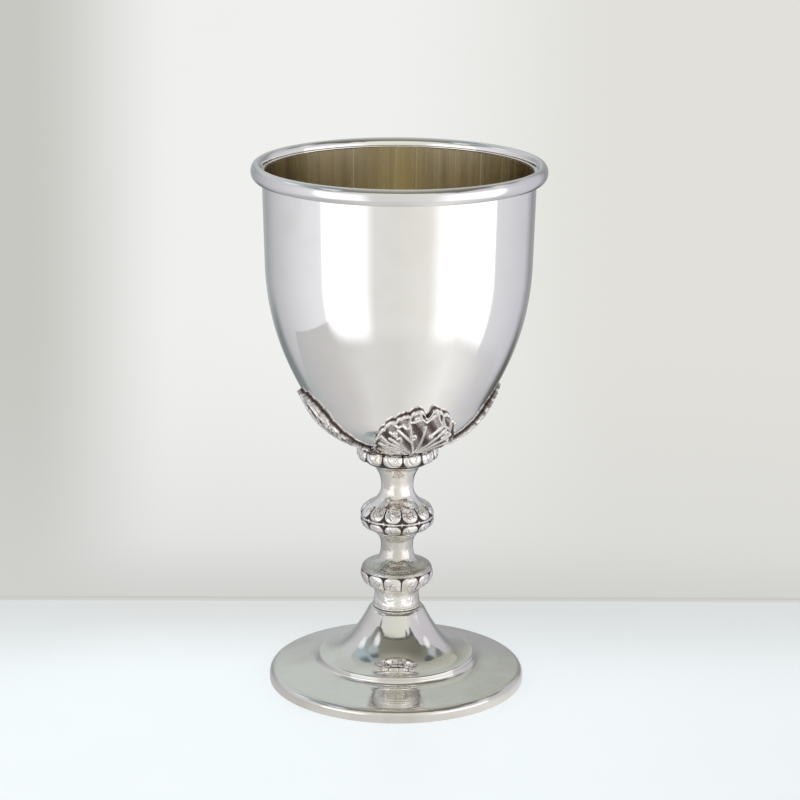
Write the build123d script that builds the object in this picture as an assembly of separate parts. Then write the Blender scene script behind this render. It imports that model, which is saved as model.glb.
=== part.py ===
"""A stemmed communion chalice: a spun silver cup with a rolled rim and four cast vine leaves,
on a stem of cast and turned sections, over a spun foot. One threaded rod, screwed into a boss
under the cup, runs down through every section and is drawn tight by a nut inside the foot.

Millimetres, +Z up. The origin is the centre of the circle that the foot stands on.
Every piece is written to parts/NODE.step.
"""

import os
from math import atan2, cos, degrees, hypot, radians, sin, sqrt

from build123d import *

# ---------------------------------------------------------------- driving dimensions
# Heights of the visible sections, from the table up.
FOOT_HEIGHT = 24.2  # table to the seat of the ferrule
FERRULE_HEIGHT = 7.0
LOWER_KNOP_HEIGHT = 5.4
LOWER_SPOOL_HEIGHT = 11.3
UPPER_KNOP_HEIGHT = 10.1
UPPER_SPOOL_HEIGHT = 11.0
COLLAR_HEIGHT = 7.9
BOWL_HEIGHT = 89.2  # bottom of the cup to the top of the rim

# Foot
FOOT_RADIUS = 40.1
FOOT_WALL = 0.9
FOOT_EDGE_HEIGHT = 4.0  # the turned-down edge
FOOT_EDGE_ROUND = 1.1
DOME_RADIUS = 24.75  # the raised inner dome, out to its step
DOME_HEIGHT = 8.95
STEP_TOP_ROUND = 0.7
STEP_COVE_RADIUS = 1.0
PLATE_HEIGHT = 6.15  # where the plate leaves the step
CONE_DROP = 9.0  # pull of the cone's curve down and out from its top
CONE_SPREAD = 4.23
CONE_SWEEP = 6.95  # and in and up from the dome's edge
CONE_RISE = 0.85
FOOT_NECK_HEIGHT = 4.9  # tube that enters the ferrule
FOOT_RING_WIDTH = 2.7  # flat wire inside the edge
FOOT_RING_HEIGHT = 2.3

# Stem
WAIST_RADIUS = 5.03  # both spools
FERRULE_WALL = 0.95  # at its waist, outside the foot's neck
FERRULE_FLARE = 1.4  # each end beyond the waist
LOWER_KNOP_RADIUS = 11.2
LOWER_KNOP_FOOT_RADIUS = 8.8
UPPER_KNOP_RADIUS = 11.4
UPPER_KNOP_TOP_RADIUS = 8.4
UPPER_KNOP_FOOT_RADIUS = 6.3
UPPER_KNOP_EQUATOR = 6.1  # its widest level, above its foot
COLLAR_RADIUS = 13.1
COLLAR_FOOT_RADIUS = 6.5
SPIGOT_WALL = 1.2
SPIGOT_HEIGHT = 1.4
LOBES = 12  # chased lobes round each ornamented section
LOBE_AZIMUTH = -82.0  # degrees from +X to one groove between lobes
GROOVE_RADIUS = 0.45

# Cup
RIM_RADIUS = 45.0
RIM_HEIGHT = 5.0
RIM_WIDTH = 3.44
RIM_CURL_GAP = 0.3  # slit where the curl comes back to the wall
BOWL_WALL = 0.75
BOWL_FLARE = 0.8  # how much the straight side opens out from shoulder to rim
SHOULDER_HEIGHT = 57.94  # from the cup's bottom to where its side turns nearly straight
TURN_HEIGHT = 14.53  # from the cup's bottom to where its rounded underside meets its side
TURN_RADIUS = 27.56
TURN_ANGLE = 64.7  # slope of the side at the turn, from level
BOWL_SEAT_DEPTH = 0.5  # how far the cup sits down into the collar

# Vine leaves
LEAF_AZIMUTHS = (-73.0, 8.0, 103.0, 199.0)  # placed by hand, so not quite evenly
LEAF_FOOT_ABOVE_COLLAR = 0.5
LEAF_THICKNESS = 1.1
LEAF_SCALLOP = 0.17  # bulge of each scallop of the edge, as a share of its chord
LEAF_EDGE = (  # (across, up) of the notches between scallops, from the leaf's foot, left side first
    *((-6.5, 0.3), (-11.0, 3.0), (-12.8, 6.2), (-13.0, 9.4), (-12.0, 12.4), (-9.2, 15.0), (-5.2, 17.0)),
    *((-1.2, 18.6), (0.3, 17.0), (2.4, 18.6), (6.2, 16.7), (9.0, 14.0), (10.2, 10.8), (10.5, 7.4)),
    *((9.3, 4.0), (5.5, 0.3)),
)
LEAF_STANDOFF = 0.7  # gap between a leaf's back and the cup
LEAF_PEG_RADIUS = 1.1
LEAF_PEGS = ((-6.0, 6.0), (5.0, 6.0), (-1.5, 13.0))  # (across, up) from the leaf's foot

# Fastening
THREAD_RADIUS = 2.5  # M5
ROD_TAIL = 2.7  # rod below the nut
NUT_ACROSS_FLATS = 8.0
NUT_HEIGHT = 4.0
NUT_ROOM = 0.4  # beside the nut's corners, inside the foot's neck
WASHER_HEIGHT = 1.0
BOSS_RADIUS = 7.0
BOSS_DEPTH = 3.9  # below the bottom of the cup

# Clearances
ROD_CLEARANCE = 0.2
THREAD_CLEARANCE = 0.03
FIT_CLEARANCE = 0.1
WIRE_CLEARANCE = 0.05

# ---------------------------------------------------------------- levels worked out from them
FERRULE_Z = FOOT_HEIGHT
LOWER_KNOP_Z = FERRULE_Z + FERRULE_HEIGHT
LOWER_SPOOL_Z = LOWER_KNOP_Z + LOWER_KNOP_HEIGHT
UPPER_KNOP_Z = LOWER_SPOOL_Z + LOWER_SPOOL_HEIGHT
UPPER_SPOOL_Z = UPPER_KNOP_Z + UPPER_KNOP_HEIGHT
COLLAR_Z = UPPER_SPOOL_Z + UPPER_SPOOL_HEIGHT
COLLAR_TOP_Z = COLLAR_Z + COLLAR_HEIGHT
BOWL_Z = COLLAR_TOP_Z - BOWL_SEAT_DEPTH
TOP_Z = BOWL_Z + BOWL_HEIGHT
RIM_Z = TOP_Z - RIM_HEIGHT / 2
NECK_TOP_Z = FOOT_HEIGHT + FOOT_NECK_HEIGHT
BOSS_Z = BOWL_Z - BOSS_DEPTH
NUT_TOP_Z = NECK_TOP_Z - FOOT_WALL - WASHER_HEIGHT
NUT_Z = NUT_TOP_Z - NUT_HEIGHT

BOWL_RADIUS = RIM_RADIUS - RIM_WIDTH + 0.1
BORE_RADIUS = THREAD_RADIUS + ROD_CLEARANCE
SPIGOT_RADIUS = BORE_RADIUS + SPIGOT_WALL
NECK_BORE_RADIUS = NUT_ACROSS_FLATS / sqrt(3) + NUT_ROOM
NECK_RADIUS = NECK_BORE_RADIUS + FOOT_WALL
FERRULE_WAIST_RADIUS = NECK_RADIUS + FIT_CLEARANCE + FERRULE_WALL
FERRULE_END_RADIUS = FERRULE_WAIST_RADIUS + FERRULE_FLARE


# ---------------------------------------------------------------- helpers
def turned(*edges):
    """The solid that a closed outline of (radius, height) edges sweeps about the Z axis."""
    return revolve(Plane.XZ * make_face(Curve() + list(edges)), Axis.Z)


def path(*points):
    """Straight edges through (radius, height) points."""
    return [Line(a, b) for a, b in zip(points, points[1:])]


def around(shape, count, start=0.0):
    """Copies of a shape spaced evenly about the Z axis."""
    return [Rot(0, 0, start + 360 * i / count) * shape for i in range(count)]


def stem_section(low, high, low_radius, high_radius, outline, spigot=True):
    """A stem section between two heights: outline holds its outer edges from bottom to top. The
    next section's spigot enters the recess below, and its own spigot stands on top."""
    recess = SPIGOT_RADIUS + FIT_CLEARANCE
    recess_top = low + SPIGOT_HEIGHT + FIT_CLEARANCE
    top = high + SPIGOT_HEIGHT
    edges = path((BORE_RADIUS, recess_top), (recess, recess_top), (recess, low), (low_radius, low))
    edges += outline
    if spigot:
        edges += path((high_radius, high), (SPIGOT_RADIUS, high), (SPIGOT_RADIUS, top), (BORE_RADIUS, top))
        edges += path((BORE_RADIUS, top), (BORE_RADIUS, recess_top))
    else:
        edges += path((high_radius, high), (BORE_RADIUS, high), (BORE_RADIUS, recess_top))
    return turned(*edges)


def groove(low_point, high_point):
    """A round-bottomed cutter along the straight line between two (radius, height) points."""
    (r0, z0), (r1, z1) = low_point, high_point
    length = hypot(r1 - r0, z1 - z0)
    lean = degrees(atan2(r1 - r0, z1 - z0))
    middle = Pos((r0 + r1) / 2, 0, (z0 + z1) / 2)
    return middle * Rot(0, lean, 0) * Cylinder(GROOVE_RADIUS, length)


def chased(section, *cutters):
    """The section with each cutter repeated between its lobes."""
    for cutter in cutters:
        section -= around(cutter, LOBES, LOBE_AZIMUTH)
    return section


# ---------------------------------------------------------------- cup
def bowl_side(inset=0.0):
    """Edges of the cup's outer side, from its bottom centre to the rim, or of a side moved
    inwards by inset."""
    lean_r, lean_z = cos(radians(TURN_ANGLE)), sin(radians(TURN_ANGLE))
    bottom_z = BOWL_Z + inset
    shoulder_r, shoulder_z = BOWL_RADIUS - BOWL_FLARE - inset, BOWL_Z + SHOULDER_HEIGHT
    turn_r = TURN_RADIUS - inset * lean_z
    turn_z = BOWL_Z + TURN_HEIGHT + inset * lean_r
    under, over = TURN_HEIGHT * 0.82, SHOULDER_HEIGHT * 0.15
    return [
        Bezier(
            (0, bottom_z),
            (turn_r * 0.27, bottom_z),
            (turn_r - under * lean_r, turn_z - under * lean_z),
            (turn_r, turn_z),
        ),
        Bezier(
            (turn_r, turn_z),
            (turn_r + over * lean_r, turn_z + over * lean_z),
            (shoulder_r - 0.75, shoulder_z - SHOULDER_HEIGHT * 0.395),
            (shoulder_r, shoulder_z),
        ),
        Line((shoulder_r, shoulder_z), (BOWL_RADIUS - inset, RIM_Z)),
    ]


def ellipse_face(half_width, half_height):
    """The rim's oval section, centred on the rim's own circle."""
    return Pos(RIM_RADIUS - RIM_WIDTH / 2, RIM_Z) * Ellipse(half_width, half_height)


def bowl_section():
    """The cup's wall and the lip that curls outwards over the rim wire."""
    outer, inner = bowl_side(), bowl_side(BOWL_WALL)
    floor = Line((0, BOWL_Z + BOWL_WALL), (0, BOWL_Z))
    lip = Line((BOWL_RADIUS, RIM_Z), (BOWL_RADIUS - BOWL_WALL, RIM_Z))
    wall = make_face(Curve() + outer + inner + [floor, lip])
    oval = ellipse_face(RIM_WIDTH / 2, RIM_HEIGHT / 2)
    core = ellipse_face(RIM_WIDTH / 2 - BOWL_WALL, RIM_HEIGHT / 2 - BOWL_WALL)
    slit_z = RIM_Z - RIM_HEIGHT / 2
    slit = Pos(BOWL_RADIUS + RIM_CURL_GAP / 2, slit_z) * Rectangle(RIM_CURL_GAP, RIM_HEIGHT * 0.7)
    return (wall + (oval - core - slit)) - core


def make_bowl():
    return revolve(Plane.XZ * bowl_section(), Axis.Z)


def make_rim_wire():
    inset = BOWL_WALL + WIRE_CLEARANCE
    section = ellipse_face(RIM_WIDTH / 2 - inset, RIM_HEIGHT / 2 - inset)
    return revolve(Plane.XZ * section, Axis.Z)


def bowl_core(grow=0.0):
    """Everything inside the cup's outer side, grown outwards by grow."""
    side = bowl_side(-grow)
    return turned(*side, *path((BOWL_RADIUS + grow, RIM_Z), (0, RIM_Z), (0, BOWL_Z - grow)))


def make_bowl_boss():
    """Turned boss soldered under the cup, tapped for the rod from below."""
    height = BOSS_DEPTH + 3.0
    blank = Pos(0, 0, BOSS_Z) * Cylinder(BOSS_RADIUS, height, align=(Align.CENTER, Align.CENTER, Align.MIN))
    tapped = Pos(0, 0, BOSS_Z) * Cylinder(
        THREAD_RADIUS + THREAD_CLEARANCE, BOSS_DEPTH - 0.4, align=(Align.CENTER, Align.CENTER, Align.MIN)
    )
    return blank - tapped - bowl_core()


# ---------------------------------------------------------------- vine leaves
def leaf_outline():
    """The leaf seen square on, its foot at the origin: a scallop between each pair of notches."""
    edges = [Line(LEAF_EDGE[-1], LEAF_EDGE[0])]
    for (x0, y0), (x1, y1) in zip(LEAF_EDGE, LEAF_EDGE[1:]):
        middle = ((x0 + x1) / 2 + (y0 - y1) * LEAF_SCALLOP, (y0 + y1) / 2 + (x1 - x0) * LEAF_SCALLOP)
        edges.append(ThreePointArc((x0, y0), middle, (x1, y1)))
    return make_face(Curve() + edges)


def around_bowl(near, far):
    """The layer between two distances from the cup's outer side."""
    return Rot(0, 0, 180) * (bowl_core(far) - bowl_core(near))


def make_leaf():
    """A leaf that follows the cup at a small distance, on cast pegs that reach it. It is made on
    the +X side and turned to its place later."""
    foot_z = COLLAR_TOP_Z + LEAF_FOOT_ABOVE_COLLAR
    blank = Plane(origin=(0, 0, foot_z), x_dir=(0, 1, 0), z_dir=(1, 0, 0)) * leaf_outline()
    leaf = around_bowl(LEAF_STANDOFF, LEAF_STANDOFF + LEAF_THICKNESS) & extrude(blank, RIM_RADIUS)
    gap = around_bowl(0, LEAF_STANDOFF + LEAF_THICKNESS / 2)
    for across, up in LEAF_PEGS:
        side = Pos(0, across, foot_z + up) * Rot(0, 90, 0)
        peg = side * Cylinder(LEAF_PEG_RADIUS, RIM_RADIUS, align=(Align.CENTER, Align.CENTER, Align.MIN))
        leaf += gap & peg
    return leaf


# ---------------------------------------------------------------- stem
def make_collar():
    """The gadrooned dish that the cup sits in, socketed for the boss."""
    rim = COLLAR_RADIUS - 0.5
    low = COLLAR_Z
    outline = [
        Bezier(
            (COLLAR_FOOT_RADIUS, low),
            (COLLAR_FOOT_RADIUS + 0.9, low + 1.8),
            (COLLAR_RADIUS - 2.8, low + 1.9),
            (COLLAR_RADIUS - 1.0, low + 3.4),
        ),
        Bezier(
            (COLLAR_RADIUS - 1.0, low + 3.4),
            (COLLAR_RADIUS + 0.1, low + 4.2),
            (COLLAR_RADIUS, COLLAR_TOP_Z - 2.4),
            (COLLAR_RADIUS, COLLAR_TOP_Z - 1.6),
        ),
        Bezier(
            (COLLAR_RADIUS, COLLAR_TOP_Z - 1.6),
            (COLLAR_RADIUS, COLLAR_TOP_Z - 0.4),
            (rim + 0.1, COLLAR_TOP_Z),
            (rim, COLLAR_TOP_Z),
        ),
    ]
    dish = stem_section(COLLAR_Z, COLLAR_TOP_Z, COLLAR_FOOT_RADIUS, rim, outline, spigot=False)
    socket = Pos(0, 0, BOSS_Z - FIT_CLEARANCE) * Cylinder(
        BOSS_RADIUS + FIT_CLEARANCE, COLLAR_HEIGHT, align=(Align.CENTER, Align.CENTER, Align.MIN)
    )
    cutter = groove((COLLAR_RADIUS - 2.6, low + 2.4), (COLLAR_RADIUS + 0.2, COLLAR_TOP_Z))
    return chased(dish - socket - bowl_core(), cutter)


def make_upper_spool():
    low, high = UPPER_SPOOL_Z, COLLAR_Z
    waist_z = low + 5.6
    outline = [
        Bezier(
            (UPPER_KNOP_TOP_RADIUS, low),
            (WAIST_RADIUS + 1.5, low + 1.4),
            (WAIST_RADIUS, low + 2.9),
            (WAIST_RADIUS, waist_z),
        ),
        Bezier(
            (WAIST_RADIUS, waist_z),
            (WAIST_RADIUS, waist_z + 3.0),
            (COLLAR_FOOT_RADIUS - 0.6, high - 1.1),
            (COLLAR_FOOT_RADIUS, high),
        ),
    ]
    return stem_section(low, high, UPPER_KNOP_TOP_RADIUS, COLLAR_FOOT_RADIUS, outline)


def make_upper_knop():
    low, high = UPPER_KNOP_Z, UPPER_SPOOL_Z
    equator = low + UPPER_KNOP_EQUATOR
    outline = [
        Bezier(
            (UPPER_KNOP_FOOT_RADIUS, low),
            (UPPER_KNOP_FOOT_RADIUS + 0.7, low + 1.8),
            (UPPER_KNOP_RADIUS, equator - 4.0),
            (UPPER_KNOP_RADIUS, equator),
        ),
        Bezier(
            (UPPER_KNOP_RADIUS, equator),
            (UPPER_KNOP_RADIUS, equator + 1.7),
            (UPPER_KNOP_TOP_RADIUS + 1.5, high - 1.0),
            (UPPER_KNOP_TOP_RADIUS, high),
        ),
    ]
    knop = stem_section(low, high, UPPER_KNOP_FOOT_RADIUS, UPPER_KNOP_TOP_RADIUS, outline)
    upper = groove((UPPER_KNOP_RADIUS + 0.2, equator + 0.4), (UPPER_KNOP_TOP_RADIUS + 0.6, high - 0.2))
    lower = groove((UPPER_KNOP_FOOT_RADIUS + 1.7, low + 1.9), (UPPER_KNOP_RADIUS + 0.1, equator - 0.6))
    return chased(knop, upper, lower)


def make_lower_spool():
    low, high = LOWER_SPOOL_Z, UPPER_KNOP_Z
    waist = (WAIST_RADIUS, high - 3.6)
    hollow_r, hollow_z = WAIST_RADIUS + 0.47, low + 4.4
    outline = [
        Bezier(
            (LOWER_KNOP_RADIUS - 0.15, low),
            (LOWER_KNOP_RADIUS - 0.6, low + 2.6),
            (hollow_r + 0.9, low + 1.5),
            (hollow_r, hollow_z),
        ),
        Bezier((hollow_r, hollow_z), (hollow_r - 0.4, hollow_z + 1.3), (WAIST_RADIUS, low + 6.4), waist),
        Bezier(
            waist,
            (WAIST_RADIUS, waist[1] + 1.6),
            (UPPER_KNOP_FOOT_RADIUS - 0.8, high - 0.8),
            (UPPER_KNOP_FOOT_RADIUS, high),
        ),
    ]
    return stem_section(low, high, LOWER_KNOP_RADIUS - 0.15, UPPER_KNOP_FOOT_RADIUS, outline)


def make_lower_knop():
    low, high = LOWER_KNOP_Z, LOWER_SPOOL_Z
    outline = [
        Bezier(
            (LOWER_KNOP_FOOT_RADIUS, low),
            (LOWER_KNOP_FOOT_RADIUS + 1.6, low + 1.4),
            (LOWER_KNOP_RADIUS, high - 2.6),
            (LOWER_KNOP_RADIUS - 0.15, high),
        )
    ]
    knop = stem_section(low, high, LOWER_KNOP_FOOT_RADIUS, LOWER_KNOP_RADIUS - 0.15, outline)
    cutter = groove((LOWER_KNOP_FOOT_RADIUS + 0.3, low - 0.2), (LOWER_KNOP_RADIUS + 0.3, high - 0.7))
    return chased(knop, cutter)


def make_ferrule():
    """The flared sleeve between the stem and the foot; the foot's neck enters it."""
    low, high = FERRULE_Z, LOWER_KNOP_Z
    waist_z = low + 4.3
    socket_r = NECK_RADIUS + FIT_CLEARANCE
    socket_z = NECK_TOP_Z + FIT_CLEARANCE
    top = high + SPIGOT_HEIGHT
    return turned(
        Bezier(
            (FERRULE_END_RADIUS, low),
            (FERRULE_END_RADIUS - 0.5, low + 1.3),
            (FERRULE_WAIST_RADIUS, waist_z - 1.6),
            (FERRULE_WAIST_RADIUS, waist_z),
        ),
        Bezier(
            (FERRULE_WAIST_RADIUS, waist_z),
            (FERRULE_WAIST_RADIUS, waist_z + 1.3),
            (FERRULE_WAIST_RADIUS + 0.7, high - 1.2),
            (FERRULE_END_RADIUS, high),
        ),
        *path((FERRULE_END_RADIUS, high), (SPIGOT_RADIUS, high), (SPIGOT_RADIUS, top), (BORE_RADIUS, top)),
        *path((BORE_RADIUS, top), (BORE_RADIUS, socket_z), (socket_r, socket_z), (socket_r, low)),
        Line((socket_r, low), (FERRULE_END_RADIUS, low)),
    )


# ---------------------------------------------------------------- foot
def foot_section():
    """Half of the spun sheet: its upper side from the rod hole out and down to the table, then
    its lower side back."""
    wall = FOOT_WALL
    dome_r, dome_z = DOME_RADIUS - STEP_TOP_ROUND, DOME_HEIGHT
    step_z = DOME_HEIGHT - STEP_TOP_ROUND
    cove_r, cove_z = DOME_RADIUS + STEP_COVE_RADIUS, PLATE_HEIGHT + STEP_COVE_RADIUS
    edge_r, edge_z = FOOT_RADIUS - FOOT_EDGE_ROUND, FOOT_EDGE_HEIGHT - FOOT_EDGE_ROUND
    seat_r = FERRULE_END_RADIUS
    upper = path((BORE_RADIUS, NECK_TOP_Z), (NECK_RADIUS, NECK_TOP_Z), (NECK_RADIUS, FOOT_HEIGHT))
    upper += [
        Line((NECK_RADIUS, FOOT_HEIGHT), (seat_r, FOOT_HEIGHT)),
        Bezier(
            (seat_r, FOOT_HEIGHT),
            (seat_r + CONE_SPREAD, FOOT_HEIGHT - CONE_DROP),
            (dome_r - CONE_SWEEP, dome_z + CONE_RISE),
            (dome_r, dome_z),
        ),
        RadiusArc((dome_r, dome_z), (DOME_RADIUS, step_z), STEP_TOP_ROUND),
        Line((DOME_RADIUS, step_z), (DOME_RADIUS, cove_z)),
        RadiusArc((DOME_RADIUS, cove_z), (cove_r, PLATE_HEIGHT), -STEP_COVE_RADIUS),
        Line((cove_r, PLATE_HEIGHT), (edge_r, FOOT_EDGE_HEIGHT)),
        RadiusArc((edge_r, FOOT_EDGE_HEIGHT), (FOOT_RADIUS, edge_z), FOOT_EDGE_ROUND),
        Line((FOOT_RADIUS, edge_z), (FOOT_RADIUS, 0)),
    ]
    inner_r = FOOT_RADIUS - wall
    under_step_r = DOME_RADIUS - wall
    lower = path(
        (FOOT_RADIUS, 0),
        (inner_r, 0),
        (inner_r, FOOT_EDGE_HEIGHT - wall),
        (under_step_r, PLATE_HEIGHT - wall),
        (under_step_r, dome_z - wall),
    )
    lower += [
        Bezier(
            (under_step_r, dome_z - wall),
            (dome_r - CONE_SWEEP - 0.55 * wall, dome_z + CONE_RISE - wall),
            (seat_r + CONE_SPREAD - 0.66 * wall, FOOT_HEIGHT - CONE_DROP - 0.77 * wall),
            (seat_r - wall, FOOT_HEIGHT - wall),
        )
    ]
    lower += path(
        (seat_r - wall, FOOT_HEIGHT - wall),
        (NECK_BORE_RADIUS, FOOT_HEIGHT - wall),
        (NECK_BORE_RADIUS, NECK_TOP_Z - wall),
        (BORE_RADIUS, NECK_TOP_Z - wall),
        (BORE_RADIUS, NECK_TOP_Z),
    )
    return upper + lower


def make_foot():
    return turned(*foot_section())


def make_foot_ring():
    """Flat wire soldered inside the foot's edge, flush with it."""
    outer = FOOT_RADIUS - FOOT_WALL
    inner = outer - FOOT_RING_WIDTH
    return turned(
        *path((inner, 0), (outer, 0), (outer, FOOT_RING_HEIGHT), (inner, FOOT_RING_HEIGHT), (inner, 0))
    )


# ---------------------------------------------------------------- fastening
def make_washer():
    outer = NECK_BORE_RADIUS - FIT_CLEARANCE
    low, high = NUT_TOP_Z, NUT_TOP_Z + WASHER_HEIGHT
    return turned(
        *path((BORE_RADIUS, low), (outer, low), (outer, high), (BORE_RADIUS, high), (BORE_RADIUS, low))
    )


def make_nut():
    hexagon = RegularPolygon(NUT_ACROSS_FLATS / 2, 6, major_radius=False)
    body = Pos(0, 0, NUT_Z) * extrude(hexagon, NUT_HEIGHT)
    hole = Pos(0, 0, NUT_Z) * Cylinder(
        THREAD_RADIUS + THREAD_CLEARANCE, NUT_HEIGHT, align=(Align.CENTER, Align.CENTER, Align.MIN)
    )
    return body - hole


def make_tie_rod():
    low = NUT_Z - ROD_TAIL
    high = BOWL_Z - 0.6
    rod = Pos(0, 0, low) * Cylinder(THREAD_RADIUS, high - low, align=(Align.CENTER, Align.CENTER, Align.MIN))
    return chamfer(rod.edges().filter_by(GeomType.CIRCLE), 0.4)


def main():
    parts = {
        "bowl": make_bowl(),
        "rim_wire": make_rim_wire(),
        "bowl_boss": make_bowl_boss(),
        "collar": make_collar(),
        "upper_spool": make_upper_spool(),
        "upper_knop": make_upper_knop(),
        "lower_spool": make_lower_spool(),
        "lower_knop": make_lower_knop(),
        "ferrule": make_ferrule(),
        "foot": make_foot(),
        "foot_ring": make_foot_ring(),
        "tie_rod": make_tie_rod(),
        "washer": make_washer(),
        "nut": make_nut(),
    }
    leaf = make_leaf()
    for number, azimuth in enumerate(LEAF_AZIMUTHS, 1):
        parts[f"vine_leaf_{number}"] = Rot(0, 0, azimuth) * leaf
    os.makedirs("parts", exist_ok=True)
    for name, shape in parts.items():
        export_step(shape, f"parts/{name}.step")


main()
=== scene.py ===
"""Looks of the communion chalice: polished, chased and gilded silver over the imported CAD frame.

Lengths are in millimetres until a mesh is made, and in metres in the shaders and on the stage. The
room is laid out in degrees. An azimuth is measured from the front (-Y) towards the right (+X).
"""

from math import cos, pi, radians, sin

import bpy
import numpy as np
from mathutils import Matrix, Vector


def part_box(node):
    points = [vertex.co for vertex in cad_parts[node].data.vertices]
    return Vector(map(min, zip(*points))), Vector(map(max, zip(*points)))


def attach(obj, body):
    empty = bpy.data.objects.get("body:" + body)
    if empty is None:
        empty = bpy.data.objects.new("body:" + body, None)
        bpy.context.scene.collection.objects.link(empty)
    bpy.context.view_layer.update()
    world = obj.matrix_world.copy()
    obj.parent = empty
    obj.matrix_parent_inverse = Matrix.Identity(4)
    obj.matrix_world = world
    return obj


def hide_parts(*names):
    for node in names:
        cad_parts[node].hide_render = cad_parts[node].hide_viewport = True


MM = 0.001
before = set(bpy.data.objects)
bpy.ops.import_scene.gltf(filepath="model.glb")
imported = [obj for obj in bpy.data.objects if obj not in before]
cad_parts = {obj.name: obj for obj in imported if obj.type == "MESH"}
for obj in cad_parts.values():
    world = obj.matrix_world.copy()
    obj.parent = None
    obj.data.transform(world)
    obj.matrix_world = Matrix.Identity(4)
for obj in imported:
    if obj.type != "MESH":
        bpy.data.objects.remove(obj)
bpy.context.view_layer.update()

# ---------------------------- sizes read from the CAD nodes


def low(node):
    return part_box(node)[0].z / MM


def high(node):
    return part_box(node)[1].z / MM


def radius(node):
    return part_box(node)[1].x / MM


FERRULE_Z = low("ferrule")
LOWER_KNOP_Z = low("lower_knop")
LOWER_SPOOL_Z = low("lower_spool")
UPPER_KNOP_Z = low("upper_knop")
UPPER_SPOOL_Z = low("upper_spool")
COLLAR_Z = low("collar")
COLLAR_TOP_Z = high("collar")
BOWL_Z = low("bowl")
TOP_Z = high("bowl")
NECK_TOP_Z = high("foot")

# Radii of the pieces as they look, before any relief.
BORE = 2.7
WAIST_RADIUS = 5.03
COLLAR_RADIUS, COLLAR_FOOT_RADIUS = 12.2, 6.5
UPPER_KNOP_RADIUS, UPPER_KNOP_FOOT_RADIUS, UPPER_KNOP_TOP_RADIUS = 11.4, 6.3, 8.4
LOWER_KNOP_RADIUS, LOWER_KNOP_FOOT_RADIUS, LOWER_KNOP_TOP_RADIUS = 11.2, 8.8, 11.05
FOOT_NECK_RADIUS = 5.92
EDGE = 0.12  # how far the rims of the stem sections are rounded off
SHARP_ANGLE = 40.0  # degrees, from where an edge of a mesh is shaded as an edge

# ---------------------------- outlines
# An outline is an array of (radius, height) rows.


def bezier(a, b, c, d, steps=32):
    t = np.linspace(0, 1, steps + 1)[:, None]
    a, b, c, d = (np.array(p, float) for p in (a, b, c, d))
    return a * (1 - t) ** 3 + 3 * b * t * (1 - t) ** 2 + 3 * c * t**2 * (1 - t) + d * t**3


def corner(before, at, after, size, steps=6):
    """A corner rounded off over a length of size each way."""
    before, at, after = (np.array(p, float) for p in (before, at, after))
    start = at + (before - at) / np.linalg.norm(before - at) * size
    end = at + (after - at) / np.linalg.norm(after - at) * size
    t = np.linspace(0, 1, steps + 1)[:, None]
    return start * (1 - t) ** 2 + 2 * at * t * (1 - t) + end * t**2


def join(*runs):
    """Runs of points as one outline, without repeated points."""
    points = np.vstack([np.atleast_2d(np.array(run, float)) for run in runs])
    keep = np.ones(len(points), bool)
    keep[1:] = np.linalg.norm(np.diff(points, axis=0), axis=1) > 1e-6
    return points[keep]


def section(outer, low_z, high_z):
    """A closed stem section round the rod: outer is its side from bottom to top, and its two rims
    are rounded off a little."""
    bottom = corner((BORE, low_z), outer[0], outer[1], EDGE, 4)
    top = corner(outer[-2], outer[-1], (BORE, high_z), EDGE, 4)
    return join((BORE, low_z), bottom, outer[1:-1], top, (BORE, high_z))


# ---------------------------- meshes
def make_object(name, vertices, faces, material, attributes=None, smooth_angle=SHARP_ANGLE):
    mesh = bpy.data.meshes.new(name)
    mesh.from_pydata((np.asarray(vertices) * MM).tolist(), [], faces)
    mesh.validate()
    mesh.shade_smooth()
    mesh.set_sharp_from_angle(angle=radians(smooth_angle))
    for key, values in (attributes or {}).items():
        layer = mesh.attributes.new(key, "FLOAT", "POINT")
        layer.data.foreach_set("value", np.asarray(values, np.float32))
    mesh.materials.append(material)
    piece = bpy.data.objects.new(name, mesh)
    bpy.context.scene.collection.objects.link(piece)
    return piece


def piece_for(piece, slot_name, *nodes):
    """Puts a finished piece on the frame in place of its CAD nodes."""
    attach(piece, "root")
    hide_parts(*nodes)
    return piece


def normals(outline, closed):
    """Unit normals of an outline that keeps its material on its left."""
    if closed:
        along = np.roll(outline, -1, 0) - np.roll(outline, 1, 0)
    else:
        along = np.gradient(outline, axis=0)
    along /= np.linalg.norm(along, axis=1, keepdims=True) + 1e-12
    return np.stack([along[:, 1], -along[:, 0]], 1)


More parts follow.
